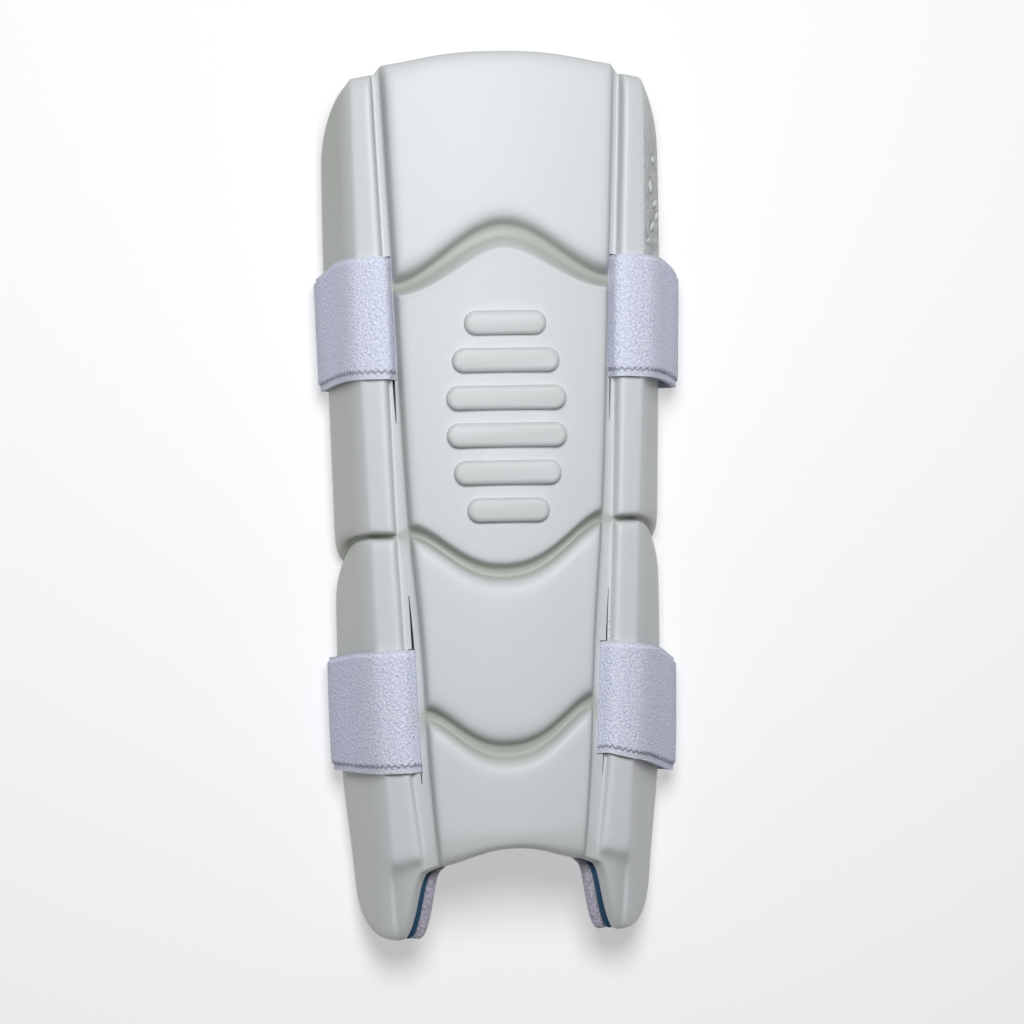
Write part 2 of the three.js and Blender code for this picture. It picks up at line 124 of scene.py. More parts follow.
# %% Lines across the moulding, from the elbow end to the wrist end
LINES = table("mid edge foot ridge rim bend slant pad bolster side", [
    (0.0, 0.013, 0.023, 0.025, 0.105, 1.6, 0.0, 0.35, 0.3, 0.5),
    (0.004, 0.017, 0.027, 0.029, 0.108, 1.6, 0.0, 0.82, 0.78, 0.85),
    (0.014, 0.027, 0.038, 0.04, 0.116, 1.6, 0.0, 1.0, 1.0, 1.0),
    (0.07, 0.085, 0.09, 0.09, 0.14, 1.4, 0.0, 1.0, 1.0, 1.0),
    (0.13, 0.165, 0.15, 0.15, 0.175, 1.2, 0.01, 1.0, 1.0, 1.0),
    (0.167, 0.226, 0.2, 0.2, 0.205, 1.0, 0.03, 1.0, 1.0, 1.0),
    (0.178, 0.239, 0.222, 0.222, 0.222, 1.0, 0.03, 0.975, 1.0, 1.0),
    (0.1855, 0.2478, 0.237, 0.237, 0.237, 1.0, 0.03, 0.85, 1.0, 1.0),
    (0.1902, 0.2532, 0.247, 0.247, 0.247, 1.0, 0.03, 0.52, 1.0, 1.0),
    (0.1936, 0.2568, 0.254, 0.254, 0.254, 1.0, 0.03, 0.12, 1.0, 1.0),
    (0.197, 0.2592, 0.262, 0.262, 0.262, 0.98, 0.03, 0.0, 1.0, 1.0),
    (0.2065, 0.2638, 0.275, 0.275, 0.275, 0.93, 0.03, 0.02, 1.0, 1.0),
    (0.2092, 0.266, 0.283, 0.283, 0.283, 0.9, 0.03, 0.1, 1.0, 1.0),
    (0.2155, 0.2705, 0.293, 0.293, 0.293, 0.86, 0.03, 0.5, 1.0, 1.0),
    (0.2202, 0.274, 0.303, 0.303, 0.303, 0.82, 0.03, 0.9, 1.0, 1.0),
    (0.222, 0.2758, 0.309, 0.309, 0.309, 0.8, 0.03, 0.93, 1.0, 1.0),
    (0.2255, 0.2788, 0.315, 0.315, 0.315, 0.79, 0.03, 0.905, 1.0, 1.0),
    (0.234, 0.286, 0.335, 0.335, 0.335, 0.78, 0.03, 0.9, 1.0, 1.0),
    (0.29, 0.326, 0.37, 0.37, 0.37, 1.0, 0.03, 0.9, 1.0, 1.0),
    (0.37, 0.376, 0.41, 0.41, 0.41, 1.0, 0.04, 0.9, 1.0, 1.0),
    (0.45, 0.43, 0.455, 0.455, 0.455, 1.0, 0.05, 0.9, 1.0, 1.0),
    (0.52, 0.48, 0.498, 0.498, 0.5, 1.2, 0.06, 0.9, 1.0, 1.0),
    (0.566, 0.512, 0.52, 0.5185, 0.526, 1.4, 0.065, 0.9, 1.0, 1.0),
    (0.5765, 0.523, 0.531, 0.53, 0.548, 1.4, 0.065, 0.9, 1.0, 0.95),
    (0.5815, 0.528, 0.536, 0.5352, 0.5595, 1.4, 0.065, 0.84, 0.97, 0.75),
    (0.5845, 0.5306, 0.5377, 0.5369, 0.566, 1.4, 0.065, 0.4, 0.5, 0.38),
    (0.5865, 0.5325, 0.5389, 0.5381, 0.5715, 1.4, 0.065, 0.04, 0.03, -0.15),
    (0.595, 0.5398, 0.5408, 0.5402, 0.5775, 1.4, 0.065, 0.0, 0.0, -0.6),
    (0.598, 0.5428, 0.5423, 0.542, 0.583, 1.4, 0.065, 0.08, 0.3, -0.3),
    (0.6005, 0.5452, 0.5438, 0.5438, 0.5895, 1.4, 0.065, 0.5, 0.8, 0.18),
    (0.606, 0.5505, 0.549, 0.549, 0.5965, 1.4, 0.065, 0.82, 0.96, 0.6),
    (0.615, 0.5585, 0.5565, 0.5575, 0.6045, 1.4, 0.065, 0.96, 1.0, 0.87),
    (0.63, 0.573, 0.575, 0.577, 0.6145, 1.4, 0.065, 1.0, 1.0, 0.98),
    (0.667, 0.615, 0.625, 0.627, 0.64, 1.3, 0.05, 1.0, 1.0, 1.0),
    (0.71, 0.665, 0.68, 0.68, 0.683, 1.3, 0.05, 1.0, 1.0, 1.0),
    (0.753, 0.707, 0.725, 0.725, 0.725, 1.4, 0.065, 1.0, 1.0, 1.0),
    (0.769, 0.7225, 0.741, 0.741, 0.741, 1.4, 0.065, 0.98, 1.0, 1.0),
    (0.7785, 0.7312, 0.75, 0.75, 0.75, 1.4, 0.065, 0.86, 1.0, 1.0),
    (0.7835, 0.7356, 0.7565, 0.7565, 0.7565, 1.4, 0.065, 0.52, 1.0, 1.0),
    (0.7858, 0.7377, 0.7605, 0.7605, 0.7605, 1.4, 0.065, 0.1, 1.0, 1.0),
    (0.789, 0.7402, 0.765, 0.765, 0.765, 1.4, 0.065, 0.0, 1.0, 1.0),
    (0.7985, 0.7485, 0.782, 0.782, 0.782, 1.4, 0.065, 0.0, 1.0, 1.0),
    (0.8012, 0.7512, 0.79, 0.79, 0.79, 1.4, 0.065, 0.1, 1.0, 1.0),
    (0.8055, 0.755, 0.8, 0.8, 0.8, 1.4, 0.065, 0.54, 1.0, 1.0),
    (0.8115, 0.761, 0.812, 0.812, 0.812, 1.4, 0.065, 0.85, 1.0, 1.0),
    (0.821, 0.77, 0.83, 0.83, 0.826, 1.4, 0.065, 0.95, 1.0, 1.0),
    (0.838, 0.79, 0.855, 0.855, 0.848, 1.3, 0.05, 0.98, 1.0, 1.0),
    (0.862, 0.835, 0.885, 0.885, 0.872, 1.2, 0.04, 0.97, 1.0, 1.0),
    (0.881, 0.876, 0.905, 0.908, 0.892, 1.2, 0.035, 0.97, 1.0, 1.0),
    (0.889, 0.893, 0.9105, 0.918, 0.904, 1.2, 0.035, 0.96, 0.84, 1.0),
    (0.8945, 0.903, 0.9145, 0.927, 0.915, 1.2, 0.035, 0.92, 0.45, 1.0),
    (0.8975, 0.909, 0.918, 0.943, 0.928, 1.2, 0.035, 0.84, 0.2, 1.0),
    (0.9, 0.914, 0.921, 0.97, 0.942, 1.2, 0.035, 0.66, 0.1, 1.0),
    (0.902, 0.918, 0.9238, 0.996, 0.956, 1.2, 0.035, 0.4, 0.06, 0.9),
    (0.903, 0.9195, 0.9255, 1.006, 0.963, 1.2, 0.035, 0.0, -0.4, 0.4),
])
print(len(LINES), "lines cross the moulding")

# %% Places across one half
PLACES = table("zone across lift sway", [
    ("pad", 0.0, 1.0, 0.0),
    ("pad", 0.25, 1.0, 0.0),
    ("pad", 0.5, 1.0, 0.0),
    ("pad", 0.73, 1.0, 0.0),
    ("pad", 0.87, 1.0, 0.0),
    ("pad", 0.945, 1.0, 0.0),
    ("pad", 0.98, 0.82, 0.0),
    ("pad", 0.998, 0.1, 0.0),
    ("web", 0.1, 0.0, 0.0),
    ("web", 0.75, 0.0, 0.0),
    ("web", 1.0, 0.0, 0.0),
    ("bolster", 0.05, 0.5, 0.01),
    ("bolster", 0.17, 0.92, 0.04),
    ("bolster", 0.36, 1.0, 0.2),
    ("bolster", 0.6, 1.0, 0.64),
    ("bolster", 0.84, 1.0, 0.93),
    ("bolster", 0.97, 0.995, 0.99),
    ("side", 0.05, 0.04, 0.02),
    ("side", 0.16, 0.15, 0.06),
    ("side", 0.42, 0.37, 0.14),
    ("side", 0.7, 0.56, 0.3),
    ("side", 0.92, 0.72, 0.54),
    ("side", 1.0, 0.87, 0.82),
    ("side", 0.97, 0.96, 0.95),
    ("side", 0.85, 1.0, 0.99),
    ("side", 0.62, 1.0, 1.0),
])
RIDGE_BLEND = 0.35
print(len(PLACES), "places on each half of a line")

# %% [markdown]
# ## The shape at any place
# A smooth curve through each column of PLAN gives the widths at any distance from the elbow end. The foam's
# underside is a rounded arch, and the grooves lie on a second arch a few millimetres over it. Straight
# steps between the rows would be simpler, but they would show as corners in the guard's outline.

# %% Readings


def mix(a, b, share):
    return a + (b - a) * share


def clamped(share):
    return min(max(share, 0), 1)


def reading(name, at):
    last = len(PLAN) - 1
    i = next((k for k in range(last) if at < PLAN[k + 1]["at"]), last - 1)
    start, end = PLAN[i], PLAN[i + 1]
    before, after = PLAN[max(i - 1, 0)], PLAN[min(i + 2, last)]
    span = end["at"] - start["at"]
    t = clamped((at - start["at"]) / span)
    slope_in = (end[name] - before[name]) / (end["at"] - before["at"]) * span
    slope_out = (after[name] - start[name]) / (after["at"] - start["at"]) * span
    return (
        (2 * t**3 - 3 * t**2 + 1) * start[name]
        + (t**3 - 2 * t**2 + t) * slope_in
        + (3 * t**2 - 2 * t**3) * end[name]
        + (t**3 - t**2) * slope_out
    )


# %% The main sizes of the section at a distance s from the elbow end


def section(s):
    at = s / LENGTH
    column = HALF_WIDTH * reading("column", at)
    rim = HALF_WIDTH * reading("rim", at)
    rise = reading("rise", at)

    def over(height):
        return RIM_HEIGHT + (height - RIM_HEIGHT) * rise

    return {
        "column": column,
        "foot": column + HALF_WIDTH * reading("web", at),
        "ridge": HALF_WIDTH * reading("ridge", at),
        "rim": rim,
        "crown": over(CROWN_HEIGHT),
        "bolster": over(BOLSTER_HEIGHT),
        "ridge_top": over(RIDGE_HEIGHT),
        "base": (rim - BOLSTER_STAND, over(CROWN_HEIGHT - GROOVE_DEPTH)),
        "inner": (rim - BOLSTER_STAND - WING_WALL, over(CROWN_HEIGHT - GROOVE_DEPTH - GROOVE_WALL)),
    }


halfway = section(LENGTH / 2)
print("half width at mid length:", round(halfway["rim"], 1), "mm")

# %% Arches, as (half width, top height)


def arch_height(arch, x):
    share = min(abs(x) / arch[0], 1)
    return RIM_HEIGHT + (arch[1] - RIM_HEIGHT) * (1 - share**BASE_ROUNDNESS) ** (1 / BASE_ROUNDNESS)


def arch_half(arch, z):
    share = clamped((z - RIM_HEIGHT) / (arch[1] - RIM_HEIGHT))
    return arch[0] * (1 - share**BASE_ROUNDNESS) ** (1 / BASE_ROUNDNESS)


def inset(arch, by):
    return arch[0] - by, arch[1] - by


print("the hollow is", round(arch_height(halfway["inner"], 0), 1), "mm high at mid length")

# %% Where a place lies on an arch


def across_of(place, cut):
    if place["zone"] == "pad":
        return cut["column"] * place["across"]
    if place["zone"] == "web":
        return mix(cut["column"], cut["foot"], place["across"])
    return mix(cut["foot"], cut["ridge"], place["across"])


def arch_point(place, cut, arch):
    scale = arch[0] / cut["base"][0]
    if place["zone"] == "side":
        z = mix(arch_height(arch, cut["ridge"] * scale), RIM_HEIGHT, place["lift"])
        return arch_half(arch, z), z
    x = across_of(place, cut) * scale
    return x, arch_height(arch, x)


# %% The outside face


def relief_point(place, cut):
    if place["zone"] == "side":
        x = mix(cut["ridge"], cut["rim"], place["across"])
        return x, mix(cut["ridge_top"], RIM_HEIGHT, place["lift"])
    x = across_of(place, cut)
    floor = arch_height(cut["base"], x)
    if place["zone"] == "web":
        return x, floor
    if place["zone"] == "pad":
        top = cut["crown"] - CROWN_FALL * place["across"] ** 2
    else:
        top = mix(cut["bolster"], cut["ridge_top"], place["across"])
    return x, mix(floor, top, place["lift"])


def relief_at(place, line):
    if place["zone"] == "web":
        return min(line["bolster"], 0)
    if place["zone"] == "side":
        return mix(line["bolster"], line["side"], min(RIDGE_BLEND + place["across"], 1))
    return line[place["zone"]]


# %% A point of a line, and how far along the guard it lies


def face_point(place, cut, line):
    floor = arch_point(place, cut, cut["base"])
    share = relief_at(place, line)
    goal = arch_point(place, cut, cut["inner"]) if share < 0 else relief_point(place, cut)
    return mix(floor[0], goal[0], abs(share)), mix(floor[1], goal[1], abs(share))


def line_at(line, place):
    if place["zone"] == "pad":
        ease = (1 - math.cos(math.pi * place["across"] ** line["bend"])) / 2
        return LENGTH * mix(line["mid"], line["edge"], ease)
    if place["zone"] == "web":
        return LENGTH * mix(line["edge"], line["foot"], place["across"])
    if place["zone"] == "bolster":
        return LENGTH * mix(line["foot"], line["ridge"], place["sway"])
    squareness = mix(0.8, 1.7, line["ridge"])
    return LENGTH * mix(line["ridge"], line["rim"], place["sway"] ** squareness)


print("pad top at mid length:", round(relief_point(PLACES[0], halfway)[1], 1), "mm")

# %% From distances along the guard to the scene
tab_low, tab_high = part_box("upper_hook_tab")
UPPER_START = 0.2315
STRAP_DROOP = 3.6
Y_OF_ELBOW = (tab_low.y + tab_high.y) / 2 / MM + UPPER_START * LENGTH + STRAP_WIDTH / 2 + STRAP_DROOP
print("elbow end of the tables at y =", round(Y_OF_ELBOW, 2), "mm")


def row_of(places, line, point_of):
    """The points of a line from the left rim to the right. Its slant ends where the bolsters begin."""

    def side(place, sign):
        s = line_at(line, place)
        cut = section(s)
        x, z = point_of(place, cut)
        return sign * x, Y_OF_ELBOW - s + line["slant"] * sign * min(x, cut["foot"]), z

    left = [side(place, -1) for place in places[:0:-1]]
    return left + [side(place, 1) for place in places]


# %% [markdown]
# ## Helpers for modelling
# A mapped face starts as Blender's grid, with one row of points for each line. Two of them, the lower one
# flipped, are bridged along their edges and become a closed shell. Subdivision then rounds all its
# bends, as foam rounds them in a mould. A solidify modifier could give one face its thickness, but the two
# sides of the foam have different shapes.

# %% Selection and modifiers


def pick(obj):
    bpy.ops.object.select_all(action="DESELECT")
    obj.select_set(True)
    bpy.context.view_layer.objects.active = obj


def apply_modifier(obj, kind, **settings):
    pick(obj)
    modifier = obj.modifiers.new(kind.title(), kind)
    for key, value in settings.items():
        setattr(modifier, key, value)
    bpy.ops.object.modifier_apply(modifier=modifier.name)


def subdivide(obj, levels):
    apply_modifier(obj, "SUBSURF", levels=levels, render_levels=levels)


def smooth(obj, angle=35):
    pick(obj)
    bpy.ops.object.shade_smooth_by_angle(angle=math.radians(angle))


# %% A mapped grid


def grid_face(name, rows):
    """A grid whose points are rows of (x, y, z) in millimetres, from low y to high y."""
    bpy.ops.object.select_all(action="DESELECT")
    bpy.ops.mesh.primitive_grid_add(x_subdivisions=len(rows[0]) - 1, y_subdivisions=len(rows) - 1, size=1)
    face = bpy.context.object
    face.name = name
    points = [point for row in rows for point in row]
    order = sorted(face.data.vertices, key=lambda v: (round(v.co.y, 5), round(v.co.x, 5)))
    assert len(order) == len(points)
    for vertex, point in zip(order, points):
        vertex.co = Vector(point) * MM
    return face


# %% A closed shell


def shell(name, upper, lower):
    """A closed shell between two grids of the same size."""
    top = grid_face(name, upper)
    under = grid_face(name + "_under", lower)
    pick(under)
    bpy.ops.object.mode_set(mode="EDIT")
    bpy.ops.mesh.select_all(action="SELECT")
    bpy.ops.mesh.flip_normals()
    bpy.ops.object.mode_set(mode="OBJECT")
    top.select_set(True)
    bpy.context.view_layer.objects.active = top
    bpy.ops.object.join()
    bpy.ops.object.mode_set(mode="EDIT")
    bpy.ops.mesh.select_mode(type="EDGE")
    bpy.ops.mesh.select_all(action="DESELECT")
    bpy.ops.mesh.select_non_manifold(
        extend=False, use_wire=False, use_boundary=True, use_multi_face=False,
        use_non_contiguous=False, use_verts=False,
    )
    bpy.ops.mesh.bridge_edge_loops()
    bpy.ops.mesh.select_all(action="SELECT")
    bpy.ops.mesh.normals_make_consistent(inside=False)
    bpy.ops.object.mode_set(mode="OBJECT")
    return top


# %% Cutting a piece away, or joining one on


def cut_with(obj, cutter, operation="DIFFERENCE"):
    """What is joined on needs the values that colour the foam, so it gets them first, as zeros."""
    if operation == "UNION":
        for name in ("hollow", "creased"):
            cutter.data.attributes.new(name, "FLOAT", "POINT")
    apply_modifier(obj, "BOOLEAN", operation=operation, object=cutter, solver="EXACT")
    bpy.data.objects.remove(cutter)


# %% A block between two corners in metres, left in edit mode with its upright edges selected


def block_between(name, low, high):
    bpy.ops.object.select_all(action="DESELECT")
    bpy.ops.mesh.primitive_cube_add(size=1, location=(low + high) / 2)
    block = bpy.context.object
    block.name = name
    block.scale = high - low
    bpy.ops.object.transform_apply(location=True, rotation=True, scale=True)
    bpy.ops.object.mode_set(mode="EDIT")
    bpy.ops.mesh.select_mode(type="EDGE")
    bpy.ops.mesh.select_all(action="DESELECT")
    bpy.ops.object.mode_set(mode="OBJECT")
    for edge in block.data.edges:
        a, b = (block.data.vertices[i].co for i in edge.vertices)
        edge.select = abs(a.z - b.z) > 1e-5
    bpy.ops.object.mode_set(mode="EDIT")
    return block


# %% [markdown]
# ## The foam moulding
# The real one is pressed from a thick foam sheet in a mould, so every edge is soft and the grooves run
# through in one piece. It could be sculpted, but then it would leave the solids. The cage of the tables is
# bridged with its underside and subdivided twice, which keeps the shape exact and its edges round.

# %% Cage of the moulding
lines_up = LINES[::-1]
outside = [row_of(PLACES, line, lambda p, cut, line=line: face_point(p, cut, line)) for line in lines_up]
inside = [row_of(PLACES, line, lambda p, cut: arch_point(p, cut, cut["inner"])) for line in lines_up]
moulding = shell("foam_moulding", outside, inside)
print("cage:", len(moulding.data.vertices), "points")

# %% [markdown]
# ## Painted shade and creased foam
# The foam is painted darker in the grooves, in the notch, at the wrist steps and on the sides, the left side
# most, as shade, and the skin is creased on the right side above the upper strap. Both could be painted in a
# texture. Here each point of the cage carries a value, which subdivision spreads softly and the foam's
# finish reads later.

# %% The cage's points, as (place, line, whether it is on the left)
both_halves = PLACES[:0:-1] + PLACES
sides = [(place, k < len(PLACES) - 1) for k, place in enumerate(both_halves)]
cage_points = [(place, line, on_left) for line in lines_up for place, on_left in sides]
print(len(cage_points), "points on the outside")

# %% Painted shade, from 0 on the pads to 1 in the grooves
# Shares of painted shade on the webs, on the sides (left, right) and at the wrist steps
WEB_SHADE = 0.1
SIDE_SHADE = {True: 0.9, False: 0.5}
STEP_SHADE = 0.3
STEP_FROM = 0.91


def painted_shade_of(place, line, on_left):
    in_step = line["ridge"] > STEP_FROM
    if place["zone"] == "side":
        # The sides are painted darker as shade, the left side more, and less towards the wrist
        side_shade = SIDE_SHADE[on_left] * (1 - 0.65 * line["ridge"]) * min(3 * place["lift"], 1)
        # The notch between the bolsters is painted darker as shade
        notch_shade = 0 if in_step else 1 - max(relief_at(place, line), 0)
        return min(side_shade + 0.5 * notch_shade, 1)
    if in_step:
        return STEP_SHADE
    # Webs get a little painted shade, more beside the grooves; pads get painted shade where they fall to the
    # grooves
    if place["zone"] == "web":
        return WEB_SHADE + 0.5 * (1 - max(line["pad"], 0))
    return 1 - max(relief_at(place, line), 0) * mix(1, place["lift"], 0.4)


# This value paints shade into the foam's colour
hollow = moulding.data.attributes.new("hollow", "FLOAT", "POINT")
for i, point in enumerate(cage_points):
    hollow.data[i].value = painted_shade_of(*point)
print("greyest value:", round(max(painted_shade_of(*point) for point in cage_points), 2))

# %% A value of 1 where the skin is creased
CREASED = (0.13, 0.25)
creased = moulding.data.attributes.new("creased", "FLOAT", "POINT")
for i, (place, line, on_left) in enumerate(cage_points):
    on_right_side = place["zone"] == "side" and not on_left
    creased.data[i].value = float(on_right_side and CREASED[0] < line["rim"] < CREASED[1])
subdivide(moulding, 2)
print("moulding:", len(moulding.data.polygons), "faces")

# %% [markdown]
# ## The raised ribs
# The middle plate carries six plain ribs of graduated length, moulded with it. They could be lines of the
# cage, but that would need many more rows. One is modelled from a block with its corners and then its top
# edge bevelled, and each is joined to the foam.

# %% Ribs
RIB_COUNT = 6
RIB_HEIGHT = 7.4
RIB_LENGTHS = (37, 25)
RIB_PITCH = 11.4
RIB_RISE = 2.2
RIB_EDGE = 1.5
RIBS_AT = 0.415
PLATE_DROP = 0.1


def rib(index):
    middle = (RIB_COUNT - 1) / 2
    off = abs(index - middle) / middle
    half = mix(*RIB_LENGTHS, off**2) / 2
    s = LENGTH * RIBS_AT + (index - middle) * RIB_PITCH
    y = Y_OF_ELBOW - s
    top = section(s)["crown"] - PLATE_DROP * GROOVE_DEPTH + RIB_RISE
    bottom = top - RIB_RISE - GROOVE_DEPTH / 2
    low = Vector((-half, y - RIB_HEIGHT / 2, bottom)) * MM
    bar = block_between("rib", low, Vector((half, y + RIB_HEIGHT / 2, top)) * MM)
    bpy.ops.mesh.bevel(offset=RIB_HEIGHT * 0.49 * MM, segments=8)
    bpy.ops.mesh.select_mode(type="FACE")
    bpy.ops.mesh.select_all(action="DESELECT")
    bpy.ops.object.mode_set(mode="OBJECT")
    for face in bar.data.polygons:
        face.select = face.normal.z > 0.9
    bpy.ops.object.mode_set(mode="EDIT")
    bpy.ops.mesh.bevel(offset=RIB_EDGE * MM, segments=4)
    bpy.ops.object.mode_set(mode="OBJECT")
    return bar


for index in range(RIB_COUNT):
    cut_with(moulding, rib(index), "UNION")
print("ribs joined:", len(moulding.data.polygons), "faces")

# %% [markdown]
# ## Strap passages and knife cuts
# Each strap leaves the foam through a cut in the web beside the pads, and the knife has gone past the strap
# at both ends. The cuts could be drawn as dark lines, but a real opening keeps its depth from any side. So
# they are cut out with the strap's own path, made a little thicker, and with a thin pointed blade.
#
# STRAP_STOPS gives the way of a strap's middle on one side, as the part's source does. In STRAPS, sag and
# bulge say how much lower and wider the right side hangs, lift how much higher the left side ends, pinch how
# much narrower the strap leaves the right cut, and astray how far that cut lies off the strap.

# %% Straps' tables
STRAPS = table("name start slant cut_start cut_end sag bulge astray lift pinch", [
    ("upper", UPPER_START, 0.0, 0.238, 0.42, 0.4, 2.8, 0.0, 0.0, 0.0),
    ("lower", 0.674, 0.025, 0.613, 0.826, 2.0, 1.8, 1.5, 3.2, 3.4),
])
STRAP_STOPS = table("run across down out up droop", [
    ("behind", 0.0, 0.0, 0.0, 0.0, 0.0),
    ("behind", 0.3, 0.04, 0.0, 0.0, 0.0),
    ("behind", 0.6, 0.27, 0.0, 0.0, 0.0),
    ("behind", 0.82, 0.6, 0.0, 0.0, 0.0),
    ("behind", 1.0, 1.0, -0.38, 0.0, 0.0),
    ("front", 0.1, 0.0, -0.38, -0.08, 0.0),
    ("front", 0.34, 0.0, 0.1, 1.0, 0.0),
    ("front", 0.84, 0.0, 0.25, 1.0, 0.0),
    ("side", 0.0, 0.0, 1.0, -0.2, 0.0),
    ("side", 0.42, 0.36, 1.45, 0.4, 0.16),
    ("side", 0.86, 0.66, 1.7, 0.25, 0.85),
    ("side", 1.0, 0.84, 1.6, 0.1, 1.0),
    ("under", 1.0, 0.0, 1.23, 2.0, 1.0),
    ("under", 1.0, 0.0, 0.46, 0.62, 1.0),
    ("under", 1.0, 0.0, -1.23, 0.0, 1.0),
    ("under", 0.6, 0.0, 0.0, 0.0, 1.0),
    ("under", 0.0, 0.0, 0.0, 0.0, 1.0),
])
print(len(STRAP_STOPS), "stops on each side of a strap")

# %% Way of a strap's middle
CUT_SINK = 1.08


def strap_path(s):
    cut = section(s)
    slit = (cut["column"] + cut["foot"]) / 2
    hidden = cut["inner"][1] + STRAP_THICKNESS / 2
    entry = arch_height(cut["base"], slit) - CUT_SINK * STRAP_STAND
    floor = STRAP_FLOOR + STRAP_THICKNESS / 2
    runs = {
        "behind": lambda a, d: (slit * a, mix(hidden, entry, d)),
        "front": lambda a, d: (mix(cut["foot"], cut["ridge"], a), mix(cut["bolster"], cut["ridge_top"], a)),
        "side": lambda a, d: (mix(cut["ridge"], cut["rim"], a), mix(cut["ridge_top"], RIM_HEIGHT, d)),
        "under": lambda a, d: (mix(STRAP_END_GAP / 2, cut["rim"], a), floor),
    }
    path = []
    for stop in STRAP_STOPS:
        x, z = runs[stop["run"]](stop["across"], stop["down"])
        path.append((x + stop["out"] * STRAP_STAND, z + stop["up"] * STRAP_STAND, stop["droop"]))
    return np.array(path)


def sideways(path, by):
    """The path of (x, z, droop) moved square to itself."""
    step = np.roll(path, -1, axis=0) - np.roll(path, 1, axis=0)
    step[0] = path[1] - path[0]
    step[-1] = path[-1] - path[-2]
    step = step[:, :2] / np.linalg.norm(step[:, :2], axis=1)[:, None]
    moved = path.copy()
    moved[:, 0] -= np.array(by) * step[:, 1]
    moved[:, 1] += np.array(by) * step[:, 0]
    return moved


# %% A row of a strap's points across the guard
DRAWN_IN = 0.75


def both_sides(strap, s, path):
    """The path of one side starts at the middle, and its mirrored copy comes first in the row."""
    path = path.copy()
    path[0, 0] = 0
    cut = section(s)
    share = (s - strap["start"] * LENGTH) / STRAP_WIDTH
    drawn_in = 1 + DRAWN_IN * (0.5 - share)
    left, right = [], []
    for x, z, droop in path:
        y = Y_OF_ELBOW - s - STRAP_DROOP * droop * drawn_in
        off_cut = clamped((x - cut["foot"]) / (cut["rim"] - cut["foot"]))
        off_ridge = clamped((x - cut["ridge"]) / (cut["rim"] - cut["ridge"]))
        pinched = share * min(x / cut["foot"], 1) * (1 - off_cut) * clamped(z / 20 - 0.4)
        lifted = strap["lift"] * droop * min(x / cut["ridge"], 1)
        left.append((-x, y - strap["slant"] * x + lifted, z))
        y += strap["slant"] * x - strap["sag"] * off_cut + strap["pinch"] * pinched
        right.append((x + strap["bulge"] * off_ridge, y, z))
    return left[:0:-1] + right


# %% Passages for the straps
CLEARED_STOPS = 7


def passage(strap):
    grow = CLEARANCE
    faces = []
    for sign in (1, -1):
        rows = []
        for share in np.linspace(1, 0, 6):
            s = strap["start"] * LENGTH - grow + (STRAP_WIDTH + 2 * grow) * share
            path = strap_path(s)[:CLEARED_STOPS]
            by = np.full(len(path), sign * (STRAP_THICKNESS / 2 + grow))
            rows.append(both_sides(strap, s, sideways(path, by)))
        faces.append(rows)
    return shell("passage", *faces)


# %% Blades of the knife cuts
SLIT_WIDTH = 0.9
RIGHT_SLIT = 0.6


def slit_blade(strap, side):
    """A thin blade that narrows to a point at both ends."""
    faces = []
    for face in (1, -1):
        rows = []
        for share in np.linspace(1, 0, 13):
            s = LENGTH * mix(strap["cut_start"], strap["cut_end"], share)
            cut = section(s)
            open_here = math.sin(math.pi * min(max(share, 0.02), 0.98)) ** 0.5
            thick = SLIT_WIDTH * open_here * (RIGHT_SLIT if side > 0 else 1)
            x = side * (cut["column"] + cut["foot"]) / 2 + face * thick / 2
            x += strap["astray"] if side > 0 else 0
            y = Y_OF_ELBOW - s + strap["slant"] * x
            rows.append([(x, y, CROWN_HEIGHT), (x, y, RIM_HEIGHT)])
        faces.append(rows)
    return shell("blade", *faces)


for strap in STRAPS:
    cut_with(moulding, passage(strap))
    for side in (-1, 1):
        cut_with(moulding, slit_blade(strap, side))
print("moulding with its cuts:", len(moulding.data.polygons), "faces")

# %% [markdown]
# ## Torn and creased foam
# Small crumbs of foam stand at the edge of the lower right cut, and the skin has risen in folds on the right
# side. A bump in the finish could hint at both, but they catch the light and show in outline, so small
# ellipsoids are sunk into the foam by half and joined to it.

# %% A small ellipsoid with its middle at a spot in millimetres


def lump(spot, radii, turns, finer):
    bpy.ops.object.select_all(action="DESELECT")
    bpy.ops.mesh.primitive_ico_sphere_add(subdivisions=finer, radius=MM)
    made = bpy.context.object
    made.location = Vector(spot) * MM
    made.rotation_euler = turns
    made.scale = radii
    bpy.ops.object.transform_apply(location=True, rotation=True, scale=True)
    return made


# %% Torn foam beside the lower right cut
CRUMBS = table("at out size", [
    (0.6425, 0.1, 0.36),
    (0.6465, 0.3, 0.42),
    (0.651, 0.0, 0.46),
    (0.6555, 0.35, 0.4),
    (0.6605, 0.05, 0.5),
    (0.6655, 0.3, 0.42),
    (0.6705, 0.1, 0.46),
])
CRUMB_SHAPE = Vector((0.75, 1.2, 0.9))
CRUMB_OUT = 0.6
CRUMB_LIFT = 0.1


def torn_crumb(crumb):
    s = LENGTH * crumb["at"]
    cut = section(s)
    x = (cut["column"] + cut["foot"]) / 2 + STRAPS[1]["astray"] + crumb["out"] + CRUMB_OUT
    y = Y_OF_ELBOW - s + STRAPS[1]["slant"] * x
    z = arch_height(cut["base"], x) + CRUMB_LIFT
    turns = (0.3, crumb["out"], 5 * crumb["size"])
    return lump((x, y, z), CRUMB_SHAPE * crumb["size"], turns, 2)


for crumb in CRUMBS:
    cut_with(moulding, torn_crumb(crumb), "UNION")
print(len(CRUMBS), "crumbs joined")

